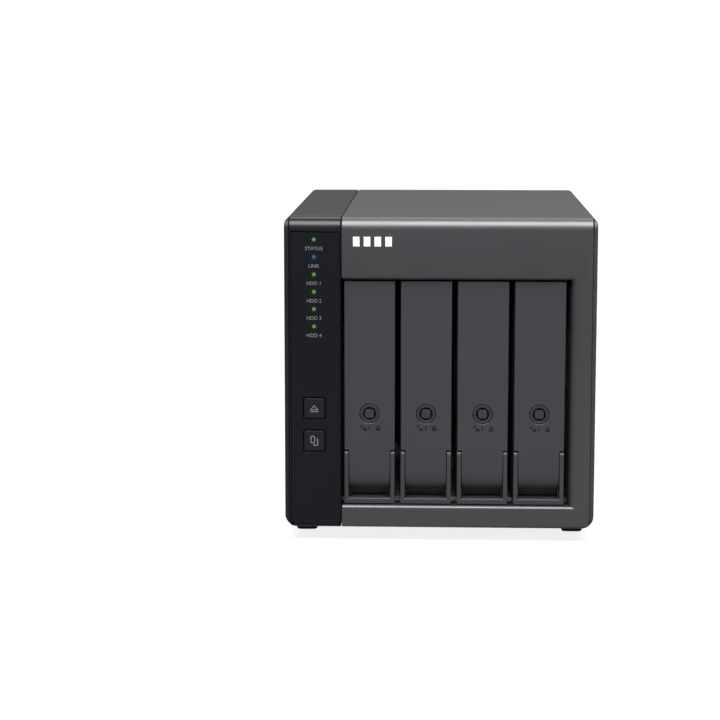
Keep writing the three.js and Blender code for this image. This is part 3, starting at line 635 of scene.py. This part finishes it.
def lens(name, x, front, z):
    # squircle rings shrinking to a point: |x|^4 + |z|^4 = (half r)^4, bulging forward by bulge (1 - r^2)
    ring = np.linspace(0, 1, 9)[::-1, None]
    turn = np.linspace(0, 2 * np.pi, 40, endpoint=False)
    power = lightRow["power"]
    reach = lightRow["half"] * ring / (np.abs(np.cos(turn)) ** power + np.abs(np.sin(turn)) ** power) ** (1 / power)
    depth = front - lightRow["bulge"] * (1 - ring**2) + 0 * turn
    dome = np.stack([x + reach * np.cos(turn), depth, z + reach * np.sin(turn)], -1)
    skirt = dome[:1] + np.array([0, lightRow["skirt"], 0])
    mesh = gridMesh(name, np.concatenate([skirt, dome]), aroundCols=True, capped=True)
    place = np.empty(len(mesh.vertices) * 3, np.float32)
    mesh.vertices.foreach_get("co", place)
    place = place.reshape(-1, 3) / mm
    away = np.hypot(place[:, 0] - x, place[:, 2] - z) / lightRow["half"]
    glow = mesh.attributes.new("glow", "FLOAT", "POINT")
    glow.data.foreach_set("value", np.clip(1.15 - away, 0, 1).astype(np.float32))
    return mesh


def buildStatusLights():
    x = middle("eject_button").x
    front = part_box("control_fascia")[0].y / mm
    for n, words in enumerate(lightRow["words"]):
        z = lightRow["first"] - n * lightRow["pitch"]
        tint = "blueLens" if words == lightRow["blue"] else "greenLens"
        name = f"light_{n + 1}_lens"
        addPiece(name, lens(name, x, front - lightRow["proud"], z), tint, "casing")
        below = (x, front, z - lightRow["drop"])
        label = lettering(f"light_{n + 1}_label", words, lightRow["size"], below)
        addPiece(label.name, label, "greyInk", "casing")


print("status lights")
buildStatusLights()

symbols = {
    "ink": 0.07, "buttonLine": 0.46, "lockLine": 0.7, "lockRow": 39.2, "padlockBody": 1.5,
    "arrow": [(-1.9, -0.75), (0, 1.45), (1.9, -0.75)], "arrowLine": 0.8, "base": [(-2.15, -1.65), (2.15, -1.65)],
    "powerRing": 2.3, "powerStem": [(0, 0.4), (0, 2.9)], "powerLine": 0.5,
}


def shifted(line, x, z):
    return np.array(line, float) + np.array([x, z])


def buildButtonSymbols():
    thick, line = symbols["ink"], symbols["buttonLine"]
    spot = middle("eject_button")
    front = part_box("eject_button")[0].y / mm - 0.02
    arrow = shifted(symbols["arrow"], spot.x, spot.z)
    base = shifted(symbols["base"], spot.x, spot.z)
    parts = [
        ribbon("arrow", arrow, line * symbols["arrowLine"], front, thick, closed=True),
        ribbon("base", base, line, front, thick),
    ]
    addPiece("eject_symbol", joinMeshes("eject_symbol", parts), "greyInk", "eject_button")
    spot = middle("copy_button")
    # a full sheet with rounded corners, and what shows of a second one behind it
    corners = ((-1, 1, 90), (-1, -1, 180), (1, -1, 270), (1, 1, 0))
    rounds = [arc((-0.8 + sx * 0.45, 0.7 + sz * 1.15), 0.55, a, a + 90, 6) for sx, sz, a in corners]
    sheet = shifted(np.concatenate(rounds), spot.x, spot.z)
    behind = [
        [(0.6, 1.1), (1.3, 1.1)], arc((1.3, 0.7), 0.4, 90, 0, 5), arc((1.3, -2.0), 0.4, 0, -90, 5),
        arc((0.2, -2.0), 0.4, -90, -180, 5), [(-0.2, -1.5)],
    ]
    second = shifted(np.concatenate(behind), spot.x, spot.z)
    parts = [
        ribbon("sheet", sheet, line, front, thick, closed=True),
        ribbon("second", second, line, front, thick),
    ]
    addPiece("copy_symbol", joinMeshes("copy_symbol", parts), "greyInk", "copy_button")


def buildLockSymbols():
    # below each lock: an open padlock, a tick for the keyway, a closed padlock
    thick, line, body = symbols["ink"], symbols["lockLine"], symbols["padlockBody"]
    shackleOpen = [[(-3.1, -0.2), (-3.1, 0.3)], arc((-3.85, 0.3), 0.75, 0, 180, 10), [(-4.6, 0)]]
    shackleShut = [[(3.75, -0.2), (3.75, 0.2)], arc((4.4, 0.2), 0.65, 180, 0, 10), [(5.05, -0.2)]]
    lines = (
        (np.concatenate(shackleOpen), line), ([(-3.5, -0.85), (-1.4, -0.85)], body),
        ([(0, -1.3), (0, 1.3)], line),
        (np.concatenate(shackleShut), line), ([(3.3, -0.85), (5.5, -0.85)], body),
    )
    for n in range(1, 5):
        spot = middle(f"tray_{n}_lock")
        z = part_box(f"tray_{n}_front")[0].z / mm + symbols["lockRow"]
        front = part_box(f"tray_{n}_front")[0].y / mm - 0.01
        parts = [ribbon("line", shifted(way, spot.x, z), width, front, thick) for way, width in lines]
        name = f"tray_{n}_lock_symbols"
        addPiece(name, joinMeshes(name, parts), "darkInk", f"tray_{n}")


badge = {"left": -44.6, "bottom": 154.0, "tall": 4.9, "bar": 3.3, "pitch": 5.5, "thick": 0.1}


def buildBadge():
    # four plain bars, one for each bay: a flat band along an upright line
    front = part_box("front_bezel")[0].y / mm
    parts = []
    for n in range(4):
        x = badge["left"] + badge["bar"] / 2 + n * badge["pitch"]
        low, high = badge["bottom"], badge["bottom"] + badge["tall"]
        parts.append(ribbon("bar", [(x, low), (x, high)], badge["bar"], front - 0.02, badge["thick"]))
    addPiece("bay_badge", joinMeshes("bay_badge", parts), "whiteInk", "casing")


# label: words, the node that it stands under, and how far under
rearWords = {
    "set_label": ("SET", "set_button", 5.5), "inlet_label": ("DC IN", "power_inlet", 9),
    "mode_label": ("MODE", "mode_switch_body", 11.5),
}


def buildRearSymbols():
    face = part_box("rear_panel")[1].y / mm
    spot = middle("power_button")
    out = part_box("power_button")[1].y / mm + 0.02
    thick, line = symbols["ink"], symbols["powerLine"]
    ring = arc((spot.x, spot.z), symbols["powerRing"], 120, 420, 32)
    stem = shifted(symbols["powerStem"], spot.x, spot.z)
    parts = [ribbon("line", way, line, out, thick, facing=1) for way in (ring, stem)]
    addPiece("power_symbol", joinMeshes("power_symbol", parts), "greyInk", "power_button")
    for name, (words, beside, drop) in rearWords.items():
        spot = middle(beside)
        mesh = lettering(name, words, lightRow["size"], (spot.x, face, spot.z - drop), facing=1)
        addPiece(name, mesh, "greyInk", "casing")


print("symbols")
buildButtonSymbols()
buildLockSymbols()
buildBadge()
buildRearSymbols()

fan = {
    "blades": 7, "hub": 18.4, "tip": 55.2, "thick": 1.7, "thinEdge": 0.35, "span": 0.62, "sweep": 0.34,
    "pitchHub": 13.5, "pitchTip": 8.6, "lean": 1.1, "bow": 1.6,
}


def fanBlade(turn):
    # span s runs out from the hub, chord c from edge to edge and back along the other face;
    # angle = turn + sweep s^2 + span (c - 1/2), y = lean pitch (1/2 - c) + bow sin(pi c), and the two
    # faces lie either side of it by half a thickness that goes with sqrt(sin(pi c)) and falls along s
    low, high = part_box("fan_rotor")
    mid = (low.y + high.y) / 2 / mm
    axle = middle("fan_frame")
    s = np.linspace(0, 1, 18)[:, None]
    there = np.linspace(0.0, 1, 20)
    c = np.concatenate([there, there[-2:0:-1]])
    side = np.concatenate([np.ones(20), -np.ones(18)])
    radius = fan["hub"] - 1 + (fan["tip"] - fan["hub"] + 1) * s
    angle = turn + fan["sweep"] * s**2 + fan["span"] * (c - 0.5)
    pitch = fan["pitchHub"] + (fan["pitchTip"] - fan["pitchHub"]) * s
    bow = fan["bow"] * np.sin(np.pi * c)
    fullness = fan["thinEdge"] + (1 - fan["thinEdge"]) * np.sin(np.pi * c) ** 0.5
    thick = fan["thick"] * fullness / 2 * (1.1 - 0.4 * s)
    y = mid + pitch * (0.5 - c) * fan["lean"] + bow + side * thick
    points = np.stack([axle.x + radius * np.cos(angle), y, axle.z + radius * np.sin(angle)], -1)
    return gridMesh("blade", points, aroundCols=True, capped=True)


def buildFanRotor():
    low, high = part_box("fan_rotor")
    axle = middle("fan_frame")
    front, back, hub = low.y / mm, high.y / mm, fan["hub"]
    profile = [
        (0.01, front), (hub - 3, front), (hub - 1, front + 0.5), (hub - 0.2, front + 1.6), (hub, front + 3),
        (hub, back - 1), (hub - 0.6, back - 0.2), (hub - 1.2, back), (0.01, back),
    ]
    meshes = [revolve("hub", profile, (axle.x, 0, axle.z))]
    meshes += [fanBlade(2 * np.pi * n / fan["blades"]) for n in range(fan["blades"])]
    name = "fan_rotor_shaped"
    rotor = addPiece(name, joinMeshes(name, meshes), "fanPlastic", "fan_rotor")
    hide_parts("fan_rotor")


duct = {"power": 14, "bore": 57, "mouth": 58.6, "edge": 0.8, "strut": 1.5, "strutTurn": 0.35, "strutBow": 0.06}


def buildFanFrame():
    # loops from a squircle outside, |x|^14 + |z|^14 = half^14, to a circle inside, closed on themselves
    low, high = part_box("fan_frame")
    axle = middle("fan_frame")
    y0, y1, half = low.y / mm, high.y / mm, (high.x - low.x) / 2 / mm
    turn = np.linspace(0, 2 * np.pi, 160, endpoint=False)
    power, edge, bore, mouth = duct["power"], duct["edge"], duct["bore"], duct["mouth"]
    squircle = half / (np.abs(np.cos(turn)) ** power + np.abs(np.sin(turn)) ** power) ** (1 / power)
    circle = np.ones(len(turn))
    loops = [
        (squircle - edge, y0), (squircle, y0 + edge), (squircle, y1 - edge), (squircle - edge, y1),
        (circle * mouth, y1), (circle * (bore + 0.4), y1 - 1.4), (circle * bore, y1 - 3.5),
        (circle * bore, y0 + 3.5), (circle * (bore + 0.4), y0 + 1.4), (circle * mouth, y0),
    ]
    rows = [atDepth(np.stack([axle.x + r * np.cos(turn), axle.z + r * np.sin(turn)], -1), y) for r, y in loops]
    meshes = [gridMesh("surround", np.stack(rows), aroundRows=True, aroundCols=True)]
    disc = [(0.01, y1 - 3.4), (18, y1 - 3.4), (19, y1 - 2.6), (19, y1 - 1), (18.2, y1 - 0.3), (0.01, y1 - 0.3)]
    meshes.append(revolve("mount", disc, (axle.x, 0, axle.z)))
    for n in range(4):
        # a strut bowed sideways by sin(pi s) as it runs out
        s = np.linspace(0, 1, 16)
        lean = n * np.pi / 2 + duct["strutTurn"] * s + duct["strutBow"] * np.sin(np.pi * s)
        out = 18 + 39.6 * s
        line = np.stack([axle.x + out * np.cos(lean), axle.z + out * np.sin(lean)], -1)
        meshes.append(wire("strut", atDepth(line, y1 - 1.9), duct["strut"], False, 12))
    name = "fan_frame_shaped"
    body = addPiece(name, joinMeshes(name, meshes), "fanPlastic", "casing")
    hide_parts("fan_frame")


# rings and spokes lie apart by twice the offset, so that they don't share a plane
guard = {"rings": (16, 30, 44, 58), "middle": 6, "wire": 0.82, "offset": 0.05, "screwAt": 52.5, "eye": 3.1}


def buildFanGuard():
    axle = middle("fan_frame")
    low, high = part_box("fan_guard")
    y = (low.y + high.y) / 2 / mm
    thick, offset = guard["wire"], guard["offset"]
    corner = guard["screwAt"] * 2**0.5  # from the axle to a screw
    meshes = []
    for radius in guard["rings"]:
        ring = arc((axle.x, axle.z), radius, 0, 360, 97)[:-1]
        meshes.append(wire("ring", atDepth(ring, y + offset), thick, True))
    for n in range(4):
        lean = np.radians(45 + 90 * n)
        out = np.linspace(guard["middle"], corner - guard["eye"], 12)
        spoke = np.stack([axle.x + out * np.cos(lean), axle.z + out * np.sin(lean)], -1)
        meshes.append(wire("spoke", atDepth(spoke, y - offset), thick, False))
        screw = (axle.x + corner * np.cos(lean), axle.z + corner * np.sin(lean))
        eye = arc(screw, guard["eye"], 0, 360, 41)[:-1]
        meshes.append(wire("eye", atDepth(eye, y), thick, True))
    inner = arc((axle.x, axle.z), guard["middle"], 0, 360, 49)[:-1]
    meshes.append(wire("middle", atDepth(inner, y + offset), thick, True))
    name = "fan_guard_shaped"
    cage = addPiece(name, joinMeshes(name, meshes), "guardCoat", "casing")
    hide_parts("fan_guard")


print("fan")
buildFanRotor()
buildFanFrame()
buildFanGuard()

screwLook = {
    "head": 2.9, "tall": 1.5, "fanHead": 3.3, "fanTall": 1.6, "fanSeat": 0.35,
    "slot": 0.42, "arm": 1.9, "deep": 0.9,
}
panelScrews = ((73.2, 14.8), (73.2, 161), (-49, 161.4), (-49, 14.6), (73.2, 88))


def screwHead(x, base, z, head, tall):
    # a dome, height = tall * sqrt(1 - 0.8 r^2), with a cross sunk where |x| or |z| is inside the slot
    ring = np.linspace(1, 0.02, 26)[:, None]
    turn = np.linspace(0, 2 * np.pi, 96, endpoint=False)
    u, w = ring * np.cos(turn) * head, ring * np.sin(turn) * head
    slotted = (np.abs(u) < screwLook["slot"]) | (np.abs(w) < screwLook["slot"])
    cross = slotted & (np.hypot(u, w) < screwLook["arm"])
    rise = tall * np.sqrt(1 - 0.8 * ring**2) - cross * screwLook["deep"]
    dome = np.stack([x + u, base + rise, z + w], -1)
    foot = dome[:1] * np.array([1, 0, 1]) + np.array([0, base - 0.1, 0])
    return gridMesh("screw", np.concatenate([foot, dome]), aroundCols=True, capped=True)


def buildScrews():
    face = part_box("rear_panel")[1].y / mm
    heads = [screwHead(x, face, z, screwLook["head"], screwLook["tall"]) for x, z in panelScrews]
    addPiece("panel_screws", joinMeshes("panel_screws", heads), "screwSteel", "casing")
    axle = middle("fan_frame")
    reach = guard["screwAt"]
    corners = [(axle.x + sx * reach, axle.z + sz * reach) for sx in (-1, 1) for sz in (-1, 1)]
    seat = face + screwLook["fanSeat"]
    heads = [screwHead(x, seat, z, screwLook["fanHead"], screwLook["fanTall"]) for x, z in corners]
    addPiece("fan_screws", joinMeshes("fan_screws", heads), "screwSteel", "casing")


print("screws")
buildScrews()

contacts = {"count": 22, "pitch": 1.7, "size": (0.16, 3.2, 0.8), "left": 0.31, "behind": 2.6}


def smallBlocks(name, centres, size, bevel=0.06):
    # a block drawn in at its two ends, repeated at every centre
    across = np.array([(-1, -1), (1, -1), (1, 1), (-1, 1)], float)
    rows = []
    for height, shrink in ((-1, bevel), (-1 + bevel, 0), (1 - bevel, 0), (1, bevel)):
        plan = across * (1 - shrink)
        rows.append(np.stack([plan[:, 0], plan[:, 1], np.full(4, height)], -1))
    template = np.stack(rows) * np.array(size) / 2
    blocks = [gridMesh("block", template + centre, aroundCols=True, capped=True) for centre in centres]
    return joinMeshes(name, blocks)


def buildContacts():
    for n in range(1, 5):
        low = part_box(f"drive_connector_{n}")[0]
        spot = middle(f"drive_connector_{n}")
        steps = (np.arange(contacts["count"]) - (contacts["count"] - 1) / 2) * contacts["pitch"]
        x, y = spot.x - contacts["left"], low.y / mm + contacts["behind"]
        centres = [np.array([x, y, spot.z + step]) for step in steps]
        name = f"drive_connector_{n}_contacts"
        addPiece(name, smallBlocks(name, centres, contacts["size"]), "gold", "casing")


print("contacts")
buildContacts()


def buildFloor():
    # a flat sheet a hair below the feet, z = -drop everywhere
    span = np.linspace(-floorLook["reach"], floorLook["reach"], 41)
    x, y = np.meshgrid(span, span, indexing="ij")
    mesh = gridMesh("floor", np.stack([x, y, 0 * x - floorLook["drop"]], -1))
    mesh.materials.append(finishes["floor"])
    floor = bpy.data.objects.new("floor", mesh)
    bpy.context.collection.objects.link(floor)


print("floor")
buildFloor()
